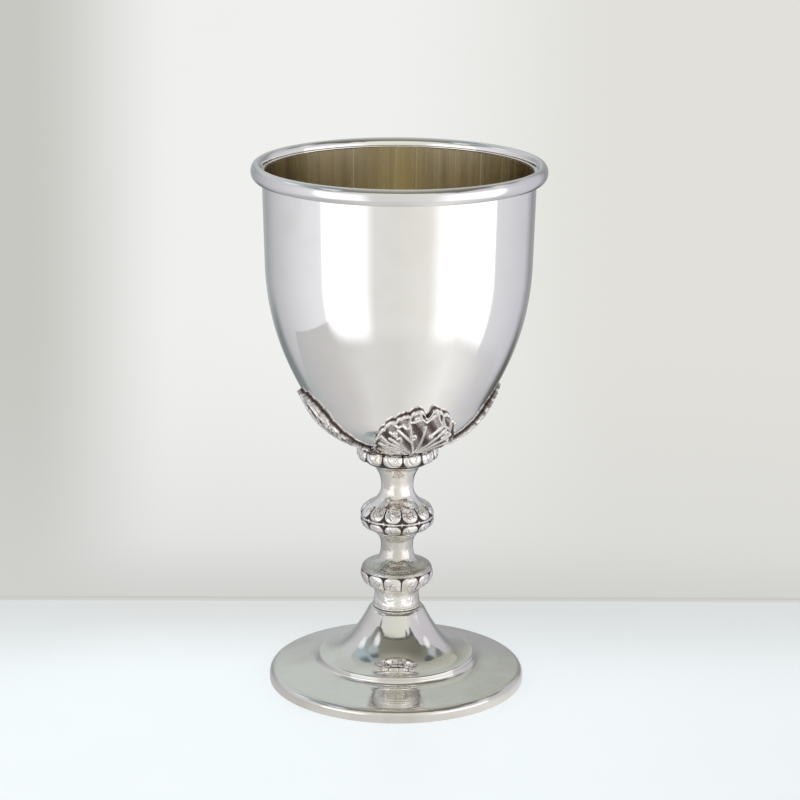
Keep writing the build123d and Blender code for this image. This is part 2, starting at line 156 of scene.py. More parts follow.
def lathe(name, outline, material, segments=360, relief=None, smooth_angle=SHARP_ANGLE):
    """A solid of revolution. An outline that starts and ends on the axis is closed by it, and any
    other is closed on itself. relief(azimuth, radius, height) gives each point's outward
    displacement and its depth of shade, from 0 on what is polished to 1 in what is never reached."""
    closed = outline[0][0] > 1e-6
    turns = np.arange(segments) * 2 * pi / segments
    r, z = outline[:, 0][:, None], outline[:, 1][:, None]
    azimuth = np.broadcast_to(turns[None, :], (len(outline), segments))
    shade = np.zeros(azimuth.shape)
    if relief is not None:
        lift, shade = relief(azimuth, r + 0 * azimuth, z + 0 * azimuth)
        out = normals(outline, closed)
        r = r + lift * out[:, 0][:, None]
        z = z + lift * out[:, 1][:, None]
    grid = np.stack([r * np.sin(azimuth), -r * np.cos(azimuth), z + 0 * azimuth], -1)
    rows = len(outline)
    index = np.arange(rows * segments).reshape(rows, segments)
    right = np.roll(index, -1, 1)
    if closed:
        lower, upper = index, np.roll(index, -1, 0)
        lower_right, upper_right = right, np.roll(right, -1, 0)
    else:
        lower, upper = index[1:-2], index[2:-1]
        lower_right, upper_right = right[1:-2], right[2:-1]
    faces = np.stack([lower, lower_right, upper_right, upper], -1).reshape(-1, 4).tolist()
    if not closed:
        first, last = index[0, 0], index[-1, 0]
        faces += [(first, b, a) for a, b in zip(index[1], right[1])]
        faces += [(last, a, b) for a, b in zip(index[-2], right[-2])]
    points = grid.reshape(-1, 3)
    return make_object(name, points, faces, material, {"shade": shade.ravel()}, smooth_angle)


# ---------------------------- shader helpers
class Nodes:
    """A node tree with short calls for the arithmetic that procedural shaders need."""

    def __init__(self, tree):
        self.tree = tree
        tree.nodes.clear()

    def add(self, kind, **settings):
        node = self.tree.nodes.new(kind)
        for key, value in settings.items():
            setattr(node, key, value)
        return node

    def put(self, socket, value):
        if isinstance(value, bpy.types.NodeSocket):
            self.tree.links.new(value, socket)
        else:
            socket.default_value = value

    def math(self, operation, *values):
        node = self.add("ShaderNodeMath", operation=operation)
        for socket, value in zip(node.inputs, values):
            self.put(socket, value)
        return node.outputs[0]

    def between(self, value, start, end, low_value=0.0, high_value=1.0):
        """Smoothly from low_value where value is start to high_value where it is end."""
        node = self.add("ShaderNodeMapRange", interpolation_type="SMOOTHSTEP")
        for name, given in zip(
            ("Value", "From Min", "From Max", "To Min", "To Max"),
            (value, start, end, low_value, high_value),
        ):
            self.put(node.inputs[name], given)
        return node.outputs["Result"]

    def mix(self, factor, a, b):
        node = self.add("ShaderNodeMix", data_type="RGBA")
        self.put(node.inputs["Factor"], factor)
        self.put(node.inputs[6], (*a, 1.0) if isinstance(a, tuple) else a)
        self.put(node.inputs[7], (*b, 1.0) if isinstance(b, tuple) else b)
        return node.outputs[2]

    def noise(self, vector, scale, detail=3.0, roughness=0.5):
        node = self.add("ShaderNodeTexNoise")
        self.put(node.inputs["Vector"], vector)
        node.inputs["Scale"].default_value = scale
        node.inputs["Detail"].default_value = detail
        node.inputs["Roughness"].default_value = roughness
        return node.outputs["Fac"]

    def combine(self, x, y, z):
        node = self.add("ShaderNodeCombineXYZ")
        for socket, value in zip(node.inputs, (x, y, z)):
            self.put(socket, value)
        return node.outputs[0]

    def split(self, vector):
        node = self.add("ShaderNodeSeparateXYZ")
        self.put(node.inputs[0], vector)
        return node.outputs

    def ramp(self, value, stops):
        """stops are (position, colour) pairs."""
        node = self.add("ShaderNodeValToRGB")
        elements = node.color_ramp.elements
        while len(elements) > 1:
            elements.remove(elements[-1])
        elements[0].position = stops[0][0]
        elements[0].color = (*stops[0][1], 1.0)
        for position, colour in stops[1:]:
            elements.new(position).color = (*colour, 1.0)
        self.put(node.inputs[0], value)
        return node.outputs[0]

    def bump(self, height, strength, distance, over=None):
        node = self.add("ShaderNodeBump")
        if over is not None:
            self.put(node.inputs["Normal"], over)
        node.inputs["Strength"].default_value = strength
        node.inputs["Distance"].default_value = distance
        self.put(node.inputs["Height"], height)
        return node.outputs[0]


def light_from(red, green, blue):
    """Linear colour of a screen colour given from 0 to 255."""
    return tuple(((c / 255 + 0.055) / 1.055) ** 2.4 for c in (red, green, blue))


def new_material(name):
    material = bpy.data.materials.new(name)
    material.use_nodes = True
    return material, Nodes(material.node_tree)


def oxidised(nodes, place, colour, smudges, oxide, dulling):
    """Colour and roughness with oxide over them as deep as the mesh's shade says."""
    shade = nodes.add("ShaderNodeAttribute", attribute_name="shade").outputs["Fac"]
    speckle = nodes.noise(place, 1800.0, 3.0)
    worn = nodes.math("ADD", shade, nodes.between(speckle, 0.3, 0.7, -0.09, 0.09))
    depth = nodes.between(worn, 0.12, 0.85)
    return nodes.mix(depth, colour, oxide), nodes.math("ADD", smudges, nodes.math("MULTIPLY", depth, dulling))


def streaked(nodes, place, bright, dull, roughness):
    """Colour and roughness in upright streaks, with thin painted highlights among them and painted shade on
    both sides.
    """
    x, y, z = nodes.split(place)
    turn = nodes.math("ARCTAN2", x, y)
    rings = nodes.combine(nodes.math("MULTIPLY", turn, 0.12), nodes.math("MULTIPLY", z, 0.015), 0.0)
    streaks = nodes.between(nodes.noise(rings, 105.0, 3.0, 0.55), 0.36, 0.62)
    colour = nodes.mix(streaks, bright, dull)
    # Painted highlights: thin pale gold streaks that stand in for reflections drawn out upright.
    painted_streak_highlights = nodes.between(nodes.noise(rings, 330.0, 2.0, 0.5), 0.56, 0.66, 0.0, 0.8)
    colour = nodes.mix(painted_streak_highlights, colour, (0.99, 0.93, 0.76))
    # Painted shade: the gilding darkens towards the left and right sides along x.
    painted_side_shade = nodes.between(nodes.math("ABSOLUTE", x), 0.024, 0.0405, 0.0, 0.8)
    colour = nodes.mix(painted_side_shade, colour, (0.36, 0.29, 0.16))
    return colour, nodes.between(streaks, 0.0, 1.0, roughness * 0.8, roughness * 1.2)


def unevenness(nodes, place, waves, dents, ripples, spin, grain):
    """Normal of a surface with layers of unevenness, or None where there are none."""
    x, y, z = nodes.split(place)
    across = nodes.math("SQRT", nodes.math("ADD", nodes.math("MULTIPLY", x, x), nodes.math("MULTIPLY", y, y)))
    normal = None
    if waves:
        normal = nodes.bump(nodes.noise(place, 170.0, 2.0), 1.0, waves)
    if dents:
        normal = nodes.bump(nodes.noise(place, 520.0, 2.0), 1.0, dents, normal)
    if ripples:
        normal = nodes.bump(nodes.noise(nodes.combine(across, 0.0, 0.0), 420.0, 2.0), 1.0, ripples)
    if spin:
        lines = nodes.noise(nodes.combine(across, z, 0.0), 2600.0, 2.0)
        normal = nodes.bump(lines, spin, 0.00002, normal)
    if grain:
        normal = nodes.bump(nodes.noise(place, 1400.0, 4.0, 0.6), 0.6, grain)
    return normal


def metal(
    name, bright, dull, roughness, oxide=None, dulling=0.3,
    waves=0.0, dents=0.0, ripples=0.0, spin=0.0, grain=0.0, brushed=0.0,
):
    """Metal whose colour drifts between bright and dull in soft patches.

    oxide is the colour left in the deep of the ornament, and dulling how much rougher it is there.
    waves, dents, ripples and grain are heights in metres: of slow unevenness, of close unevenness,
    of the rings left by spinning, and of a cast skin. spin is the strength of fine turning lines.
    brushed is how far lines round the axis draw reflections out upright.
    """
    material, nodes = new_material(name)
    place = nodes.add("ShaderNodeTexCoord").outputs["Object"]
    colour = nodes.mix(nodes.between(nodes.noise(place, 90.0, 4.0), 0.42, 0.75), bright, dull)
    blotches = nodes.noise(place, 220.0, 5.0, 0.6)
    smudges = nodes.between(blotches, 0.35, 0.75, roughness * 0.7, roughness * 1.6)
    shader = nodes.add("ShaderNodeBsdfPrincipled")
    shader.inputs["Metallic"].default_value = 1.0
    if oxide is not None:
        colour, smudges = oxidised(nodes, place, colour, smudges, oxide, dulling)
    if brushed:
        colour, smudges = streaked(nodes, place, bright, dull, roughness)
        tangent = nodes.add("ShaderNodeTangent", direction_type="RADIAL")
        nodes.put(shader.inputs["Tangent"], tangent.outputs[0])
        shader.inputs["Anisotropic"].default_value = brushed
        shader.inputs["Anisotropic Rotation"].default_value = 0.25
    normal = unevenness(nodes, place, waves, dents, ripples, spin, grain)
    if normal is not None:
        nodes.put(shader.inputs["Normal"], normal)
    nodes.put(shader.inputs["Base Color"], colour)
    nodes.put(shader.inputs["Roughness"], smudges)
    output = nodes.add("ShaderNodeOutputMaterial")
    nodes.put(output.inputs["Surface"], shader.outputs[0])
    return material


SILVER = metal(
    "silver", (0.94, 0.93, 0.915), (0.91, 0.895, 0.87), 0.05,
    oxide=(0.84, 0.83, 0.83), dulling=0.07, spin=0.03,
)
STEM_SILVER = metal(
    "stem_silver", (0.95, 0.93, 0.91), (0.80, 0.74, 0.66), 0.17,
    oxide=(0.17, 0.15, 0.11), waves=0.0002, dents=0.00012,
)
FOOT_SILVER = metal(
    "foot_silver", (0.82, 0.805, 0.775), (0.755, 0.73, 0.685), 0.07,
    ripples=0.00006, spin=0.04,
)
GILT = metal("gilt", (0.93, 0.85, 0.63), (0.66, 0.56, 0.35), 0.24, brushed=0.75)
# A darker silver for the lower spool.
DARKER_SILVER = metal(
    "darker_silver", (0.76, 0.745, 0.71), (0.56, 0.52, 0.45), 0.17,
    oxide=(0.26, 0.25, 0.21), waves=0.0003, dents=0.0002,
)
WORN = metal(
    "worn_silver", (0.93, 0.91, 0.885), (0.60, 0.55, 0.47), 0.17,
    oxide=(0.17, 0.15, 0.11), waves=0.0005, dents=0.00045,
)
CHASED = metal(
    "chased_silver", (0.94, 0.925, 0.91), (0.78, 0.72, 0.66), 0.13,
    oxide=(0.085, 0.07, 0.072), waves=0.00024, dents=0.0004,
)
LEAF = metal(
    "leaf_silver", (0.95, 0.92, 0.90), (0.82, 0.77, 0.75), 0.18,
    oxide=(0.11, 0.082, 0.08), grain=0.00003,
)
PLAIN = metal("plain_silver", (0.80, 0.79, 0.76), (0.66, 0.63, 0.58), 0.22, spin=0.1)
STEEL = metal("steel", (0.56, 0.56, 0.57), (0.40, 0.39, 0.38), 0.3, spin=0.1)
BRASS = metal("brass", (0.74, 0.58, 0.30), (0.58, 0.43, 0.22), 0.25, spin=0.1)

# ---------------------------- cup
CUP_TURN = (27.56, 14.53)  # radius and height above the cup's bottom where its curve turns up
CUP_SHOULDER = (40.86, 57.94)
CUP_SIDE_RADIUS = 41.66
CUP_WALL = 0.75
RIM_HALF_WIDTH, RIM_HALF_HEIGHT = 1.72, 2.5
GILT_DEPTH = 0.1


def cup_side(inset=0.0, top=None, steps=48):
    """Outer side of the cup from the axis to the rim, or a side moved in by inset."""
    turn_r, turn_z = CUP_TURN[0] - 0.904 * inset, BOWL_Z + CUP_TURN[1] + 0.427 * inset
    shoulder_r, shoulder_z = CUP_SHOULDER[0] - inset, BOWL_Z + CUP_SHOULDER[1]
    bottom = BOWL_Z + inset
    top = TOP_Z - RIM_HALF_HEIGHT if top is None else top
    lean = (top - shoulder_z) / (TOP_Z - RIM_HALF_HEIGHT - shoulder_z)
    top_r = shoulder_r + (CUP_SIDE_RADIUS - CUP_SHOULDER[0]) * lean
    return join(
        bezier((0, bottom), (7.5, bottom), (turn_r - 5.17, turn_z - 10.94), (turn_r, turn_z), steps),
        bezier(
            (turn_r, turn_z),
            (turn_r + 3.72, turn_z + 7.88),
            (shoulder_r - 0.76, shoulder_z - 22.92),
            (shoulder_r, shoulder_z),
            steps,
        ),
        np.linspace((shoulder_r, shoulder_z), (top_r, top), 13)[1:],
    )


def rim_bead(start, end, steps=72, shrink=0.0):
    """The rim's oval section between two angles, anticlockwise from outwards."""
    centre_r, centre_z = radius("bowl") - RIM_HALF_WIDTH, TOP_Z - RIM_HALF_HEIGHT
    t = np.radians(np.linspace(start, end, steps + 1))
    half_width, half_height = RIM_HALF_WIDTH - shrink, RIM_HALF_HEIGHT - shrink
    return np.stack([centre_r + half_width * np.cos(t), centre_z + half_height * np.sin(t)], 1)


def rim_wear(azimuth, r, z):
    """Handling has dulled the rim's bead a little."""
    return 0 * r, np.where(r > CUP_SIDE_RADIUS + 0.3, 1.2, 0.0)


def make_cup():
    under = RIM_HALF_HEIGHT * 0.86
    outer = cup_side(0.0, TOP_Z - RIM_HALF_HEIGHT - under)
    inner = cup_side(CUP_WALL - GILT_DEPTH / 2, TOP_Z - RIM_HALF_HEIGHT)
    body = join(outer, rim_bead(-122, 180), inner[::-1])
    piece_for(lathe("cup", body, SILVER, 320, rim_wear), "polished_silver", "bowl")
    face = cup_side(CUP_WALL, TOP_Z - RIM_HALF_HEIGHT - 0.4)
    back = cup_side(CUP_WALL - GILT_DEPTH, TOP_Z - RIM_HALF_HEIGHT - 0.4)
    piece_for(lathe("cup_gilding", join(back, face[::-1]), GILT, 360), "gilt", "bowl")


# ---------------------------- chased bands
LOBES = 12
GROOVE_AZIMUTH = radians(8.0)


def lobe_position(azimuth, band_radius):
    """Distance from the nearest lobe's centre line, as measured round the band's widest circle."""
    pitch = 2 * pi / LOBES
    return ((azimuth - GROOVE_AZIMUTH) / pitch % 1.0 - 0.5) * pitch * band_radius


def inside_lobe(across, up, half_width, bottom, top, bottom_round, top_round):
    """Distance inside an upright lobe with rounded ends, negative outside."""
    middle = (bottom + top) / 2
    rounding = np.where(up > middle, top_round, bottom_round)
    dx = np.abs(across) - half_width + rounding
    dz = np.abs(up - middle) - (top - bottom) / 2 + rounding
    outside = np.hypot(np.maximum(dx, 0), np.maximum(dz, 0))
    return rounding - outside - np.minimum(np.maximum(dx, dz), 0)


def puffed(inside, height, depth, edge=0.9):
    """Lift of a rounded lobe, and of the ground between lobes, from the distance inside it."""
    dome = height * (1 - np.exp(-np.maximum(inside, 0) / edge))
    ground = -depth * np.clip(-inside / 0.25, 0, 1)
    return dome + ground


def ground_shade(inside, width=0.3):
    return np.clip(0.85 - inside / width, 0, 1)


def distance_to(points, across, up):
    """Distance of each place from a line through points."""
    near = np.full(np.broadcast(across, up).shape, 1e9)
    for (x0, y0), (x1, y1) in zip(points, points[1:]):
        dx, dy = x1 - x0, y1 - y0
        t = np.clip(((across - x0) * dx + (up - y0) * dy) / (dx * dx + dy * dy), 0, 1)
        near = np.minimum(near, np.hypot(across - x0 - t * dx, up - y0 - t * dy))
    return near


def stroke(across, up, points, width):
    """A chased line through points: 1 on it, 0 beyond width."""
    return np.clip(1 - distance_to(points, across, up) / width, 0, 1)


def collar_relief(azimuth, r, z):
    across = lobe_position(azimuth, COLLAR_RADIUS)
    up = z - COLLAR_Z
    inside = inside_lobe(across, up, 3.05, 3.5, 8.6, 2.4, 0.3)
    active = (r > 9.5) & (up > 1.8)
    cut = stroke(across, up, ((-1.5, 7.0), (-1.2, 5.4), (-0.2, 4.6)), 0.34)
    cut = np.maximum(cut, stroke(across, up, ((1.3, 6.6), (0.7, 5.5)), 0.3))
    lift = puffed(inside, 0.6, 0.25) - 0.2 * cut
    return np.where(active, lift, 0), np.where(active, np.maximum(ground_shade(inside), 0.6 * cut), 0)


def upper_knop_relief(azimuth, r, z):
    across = lobe_position(azimuth, UPPER_KNOP_RADIUS)
    up = z - UPPER_KNOP_Z
    high_lobe = inside_lobe(across, up, 2.86, 6.45, 10.4, 2.5, 0.4)
    low_lobe = inside_lobe(across, up, 2.8, 1.9, 5.45, 1.7, 1.9)
    inside = np.maximum(high_lobe, low_lobe)
    cut = stroke(across, up, ((-1.2, 9.2), (-1.1, 8.2), (-0.3, 7.5)), 0.3)
    cut = np.maximum(cut, stroke(across, up, ((1.1, 9.0), (0.9, 8.1)), 0.26))
    cut = np.maximum(cut, stroke(across, up, ((-0.9, 4.4), (-0.5, 3.4), (0.5, 3.1)), 0.26))
    from_groove = pi / LOBES * UPPER_KNOP_RADIUS - np.abs(across)
    ridge = np.clip(1 - np.abs(up - 5.95) / 0.42, 0, 1)
    star = np.clip(1 - (from_groove + np.abs(up - 5.95)) / 0.95, 0, 1)
    band = np.maximum(ridge, star)
    lift = puffed(inside, 0.55, 0.25) - 0.2 * cut + 0.35 * band
    shade = np.maximum(ground_shade(inside), 0.6 * cut) * (1 - np.clip(band * 2.5, 0, 1))
    active = (up > 1.2) & (up < 10.05) & (r > 6.0)
    return np.where(active, lift, 0), np.where(active, shade, 0)


def lower_knop_relief(azimuth, r, z):
    across = lobe_position(azimuth, LOWER_KNOP_RADIUS)
    up = z - LOWER_KNOP_Z
    inside = inside_lobe(across, up, 2.85, 0.3, 5.15, 0.5, 1.9)
    cut = stroke(across, up, ((-0.9, 1.2), (-0.8, 2.6), (0.2, 3.4)), 0.26)
    cut = np.maximum(cut, stroke(across, up, ((0.9, 1.2), (0.8, 2.2)), 0.24))
    lift = puffed(inside, 0.5, 0.25) - 0.18 * cut
    active = (up > 0.15) & (up < 5.25) & (r > 8.0)
    return np.where(active, lift, 0), np.where(active, np.maximum(ground_shade(inside), 0.6 * cut), 0)


# ---------------------------- stem
def make_collar():
    r, base, top = COLLAR_RADIUS, COLLAR_Z, COLLAR_TOP_Z - 0.8
    belly = (r - 1.0, base + 3.4)
    outer = join(
        bezier((COLLAR_FOOT_RADIUS, base), (7.4, base + 1.8), (r - 2.8, base + 1.9), belly, 40),
        bezier(belly, (r + 0.1, base + 4.2), (r, top - 2.4), (r, top - 1.6), 30),
        bezier((r, top - 1.6), (r, top - 0.4), (r - 0.4, top), (r - 0.7, top), 16),
    )
    dish = cup_side(0.0, TOP_Z - 60)
    dish = dish[(dish[:, 0] > BORE) & (dish[:, 1] < COLLAR_TOP_Z + 0.8)]
    dish = np.stack([dish[:, 0], np.minimum(dish[:, 1], COLLAR_TOP_Z) - 0.05], 1)
    dish = dish[dish[:, 0] < r - 2.2]
    foot = corner((BORE, base), outer[0], outer[1], EDGE, 4)
    outline = join((BORE, base), foot, outer[1:], dish[::-1])
    piece_for(lathe("gadrooned_collar", outline, CHASED, 600, collar_relief), "chased_silver", "collar")


def make_upper_spool():
    base, top, waist = UPPER_SPOOL_Z, COLLAR_Z, UPPER_SPOOL_Z + 5.6
    r = WAIST_RADIUS
    outer = join(
        bezier((UPPER_KNOP_TOP_RADIUS, base), (r + 1.5, base + 1.4), (r, base + 2.9), (r, waist)),
        bezier((r, waist), (r, waist + 3.0), (5.9, top - 1.1), (COLLAR_FOOT_RADIUS, top)),
    )
    spool = lathe("neck_spool", section(outer, base, top), STEM_SILVER, 256)
    piece_for(spool, "polished_silver", "upper_spool")


def make_upper_knop():
    base, top, r = UPPER_KNOP_Z, UPPER_SPOOL_Z, UPPER_KNOP_RADIUS
    equator = base + 6.1
    outer = join(
        bezier((UPPER_KNOP_FOOT_RADIUS, base), (7.0, base + 1.8), (r, equator - 4.0), (r, equator), 56),
        bezier((r, equator), (r, equator + 1.7), (9.9, top - 1.0), (UPPER_KNOP_TOP_RADIUS, top), 44),
    )
    knop = lathe("chased_knop", section(outer, base, top), CHASED, 720, upper_knop_relief)
    piece_for(knop, "chased_silver", "upper_knop")


LOWER_WAIST_Z = UPPER_KNOP_Z - 3.6  # narrowest level of the lower spool


def flare_tarnish_and_shade(azimuth, r, z):
    """Tarnish on the flare over the chased band, with painted shade for the dark band below that it reflects.
    """
    return 0 * r, 0.36 * np.clip((r - 5.2) / 2.4, 0, 1) * (z < LOWER_WAIST_Z)


def make_lower_spool():
    base, top, waist = LOWER_SPOOL_Z, UPPER_KNOP_Z, LOWER_WAIST_Z
    r, throat = WAIST_RADIUS, (5.5, base + 4.4)
    outer = join(
        bezier((LOWER_KNOP_TOP_RADIUS, base), (10.6, base + 2.6), (6.4, base + 1.5), throat, 48),
        bezier(throat, (5.1, base + 5.7), (r, base + 6.4), (r, waist)),
        bezier((r, waist), (r, waist + 1.6), (5.5, top - 0.8), (UPPER_KNOP_FOOT_RADIUS, top)),
    )
    spool = lathe("stem_spool", section(outer, base, top), DARKER_SILVER, 256, flare_tarnish_and_shade)
    piece_for(spool, "polished_silver", "lower_spool")


def make_lower_knop():
    base, top, r = LOWER_KNOP_Z, LOWER_SPOOL_Z, LOWER_KNOP_RADIUS
    side = ((LOWER_KNOP_FOOT_RADIUS, base), (10.4, base + 1.4), (r, top - 2.6), (LOWER_KNOP_TOP_RADIUS, top))
    outline = section(bezier(*side, 64), base, top)
    piece_for(lathe("chased_band", outline, CHASED, 720, lower_knop_relief), "chased_silver", "lower_knop")


def seam_shade(azimuth, r, z):
    """Tarnish left in the joint under the ferrule and behind the bead at its foot."""
    up = z - FERRULE_Z
    return 0 * r, np.clip(1 - up / 0.45, 0, 1) + 0.3 * np.exp(-(((up - 0.95) / 0.3) ** 2))


def make_ferrule():
    base, top, waist = FERRULE_Z, LOWER_KNOP_Z, FERRULE_Z + 4.3
    end_r = radius("ferrule")
    waist_r, foot_r = end_r - 1.4, end_r - 0.8
    outer = join(
        corner((foot_r - 0.35, base), (foot_r, base), (foot_r, base + 1.0), 0.22, 6),
        corner((foot_r, base + 0.2), (foot_r, base + 0.6), (foot_r - 0.4, base + 0.75), 0.2, 6),
        bezier(
            (foot_r - 0.32, base + 0.9), (foot_r - 0.2, base + 1.8), (waist_r, waist - 1.6), (waist_r, waist)
        ),
        bezier((waist_r, waist), (waist_r, waist + 1.3), (waist_r + 0.7, top - 1.2), (end_r, top)),
    )
    inner_r = waist_r - 0.95
    outline = join(
        (inner_r, base),
        outer[:-1],
        corner(outer[-2], outer[-1], (inner_r, top), 0.15),
        (inner_r, top),
    )
    piece_for(lathe("ferrule_sleeve", outline, WORN, 256, seam_shade), "polished_silver", "ferrule")


# ---------------------------- foot
FOOT_WALL = 0.9
DOME_RADIUS, DOME_Z = 24.75, 8.95  # the raised inner dome, out to its step
EDGE_Z = 4.0  # top of the turned-down edge


def make_foot():
    seat_r, seat_z = radius("ferrule"), FERRULE_Z
    rim_r, neck_r = radius("foot"), FOOT_NECK_RADIUS
    flare = bezier((seat_r, seat_z), (12.6, 15.2), (17.1, 9.8), (DOME_RADIUS - 0.7, DOME_Z), 72)
    plate = bezier((DOME_RADIUS + 1.0, 6.15), (30.0, 5.46), (34.5, 4.73), (rim_r - 1.1, EDGE_Z), 24)
    shoulder = bezier(
        (seat_r - 0.95, seat_z), (seat_r - 0.5, seat_z), (seat_r + 0.1, seat_z - 0.4), flare[3], 12
    )
    cove = bezier((DOME_RADIUS, 7.9), (DOME_RADIUS + 0.05, 6.6), (DOME_RADIUS + 0.95, 6.2), (28.4, 5.72), 24)
    upper = join(
        (BORE, NECK_TOP_Z),
        (neck_r, NECK_TOP_Z),
        (neck_r, seat_z),
        shoulder,
        flare[4:-1],
        corner(flare[-2], (DOME_RADIUS, DOME_Z), (DOME_RADIUS, 7.0), 0.8, 10),
        cove,
        plate[plate[:, 0] > 28.6][:-1],
        corner(plate[-4], (rim_r, EDGE_Z - 0.15), (rim_r, 1.0), 2.1, 16),
        corner((rim_r, 1.0), (rim_r, 0.0), (rim_r - 0.5, 0.0), 0.2, 3),
    )
    inner_r, step_r, bore_r = rim_r - FOOT_WALL, DOME_RADIUS - FOOT_WALL, neck_r - FOOT_WALL
    ceiling_z, under_z = DOME_Z - FOOT_WALL, seat_z - FOOT_WALL
    lower = join(
        (inner_r, 0.0),
        corner((inner_r, 1.0), (inner_r, EDGE_Z - FOOT_WALL), (30.0, 4.6), 0.5),
        corner((30.0, 4.6), (step_r, 5.3), (step_r, 7.0), 0.6),
        corner((step_r, 7.0), (step_r, ceiling_z), (22.0, 8.2), 0.5),
        bezier((step_r - 0.6, ceiling_z), (16.6, 8.95), (12.0, 14.5), (seat_r - FOOT_WALL, under_z), 48),
        (bore_r, under_z),
        (bore_r, NECK_TOP_Z - FOOT_WALL),
        (BORE, NECK_TOP_Z - FOOT_WALL),
    )
    outline = join(upper, lower)[::-1]
    piece_for(lathe("spun_foot", outline, FOOT_SILVER, 420), "polished_silver", "foot")


def make_foot_ring():
    outer_r, top = radius("foot_ring"), high("foot_ring")
    inner_r = outer_r - 2.7
    outline = join(
        corner((inner_r, top), (inner_r, 0), (outer_r, 0), 0.4),
        corner((inner_r, 0), (outer_r, 0), (outer_r, top), 0.1),
        corner((outer_r, 0), (outer_r, top), (inner_r, top), 0.1),
        corner((outer_r, top), (inner_r, top), (inner_r, 0), 0.5),
    )
    piece_for(lathe("foot_wire", outline, PLAIN, 360), "plain_silver", "foot_ring")


# ---------------------------- fastening
THREAD_PITCH = 0.8
THREAD_DEPTH = 0.43
NUT_ACROSS_FLATS = 8.0


def thread_relief(azimuth, r, z):
    turn = (z / THREAD_PITCH - azimuth / (2 * pi)) % 1.0
    groove = np.clip(1.15 - 2.6 * np.abs(turn - 0.5), 0, 1)
    on_side = (r > 2.3) & ((z < NECK_TOP_Z) | (z > COLLAR_TOP_Z - 6))
    return np.where(on_side, -THREAD_DEPTH * groove, 0), np.where(on_side, groove * 0.8, 0)


def make_rod():
    bottom, top, r = low("tie_rod"), high("tie_rod"), radius("tie_rod")
    side = np.linspace((r, bottom + 0.4), (r, top - 0.4), 760)
    outline = join((0, bottom), (r - 0.4, bottom), side, (r - 0.4, top), (0, top))
    piece_for(lathe("threaded_rod", outline, STEEL, 48, thread_relief), "steel", "tie_rod")


def nut_relief(azimuth, r, z):
    """Takes a round blank in to a hexagon, chamfered at both ends."""
    flat = NUT_ACROSS_FLATS / 2 / np.cos((azimuth + pi / 6) % (pi / 3) - pi / 6)
    return np.where(r > 3.5, np.minimum(flat - r, 0), 0), 0 * z


def make_nut_and_washer():
    bottom, top = low("nut"), high("nut")
    corner_r = NUT_ACROSS_FLATS / np.sqrt(3)
    side = np.linspace((corner_r, bottom + 0.35), (corner_r, top - 0.35), 12)
    outline = join((2.53, bottom), (3.9, bottom), side, (3.9, top), (2.53, top))
    piece_for(lathe("hex_nut", outline, BRASS, 360, nut_relief, 25.0), "brass", "nut")
    low_z, high_z, outer_r = low("washer"), high("washer"), radius("washer")
    outline = join(
        (BORE, low_z),
        corner((BORE, low_z), (outer_r, low_z), (outer_r, high_z), 0.2),
        corner((outer_r, low_z), (outer_r, high_z), (BORE, high_z), 0.2),
        (BORE, high_z),
    )
    piece_for(lathe("round_washer", outline, BRASS, 128), "brass", "washer")


# ---------------------------- vine leaves
# A leaf is laid out square on: (across, up) from the middle of its foot.
LEAF_FOOT_Z = COLLAR_TOP_Z + 0.5
LEAF_AZIMUTHS = (("vine_leaf_1", 17.0), ("vine_leaf_2", 98.0), ("vine_leaf_3", 193.0), ("vine_leaf_4", 289.0))
LEAF_HUB = (0.0, 1.2)  # where the veins meet
LEAF_FRONT, LEAF_BACK = 1.05, 0.4  # distances of its two faces from the cup
LEAF_EDGE = (
    *((-6.5, 0.3), (-9.2, 1.4), (-11.0, 3.0), (-12.6, 4.4), (-12.8, 6.2), (-13.6, 7.9), (-13.0, 9.4)),
    *((-13.1, 11.2), (-12.0, 12.4), (-11.2, 14.3), (-9.2, 15.0), (-7.4, 16.6), (-5.2, 17.0), (-3.2, 18.6)),
    *((-1.6, 18.4), (-0.6, 16.6), (0.3, 15.6), (1.2, 16.8), (1.9, 18.7), (3.6, 18.2), (5.2, 16.8)),
    *((7.4, 16.2), (8.3, 14.4), (9.9, 13.0), (9.9, 10.9), (10.9, 9.2), (10.3, 7.4), (10.9, 5.4)),
    *((9.3, 4.0), (8.4, 1.9), (5.5, 0.3)),
)
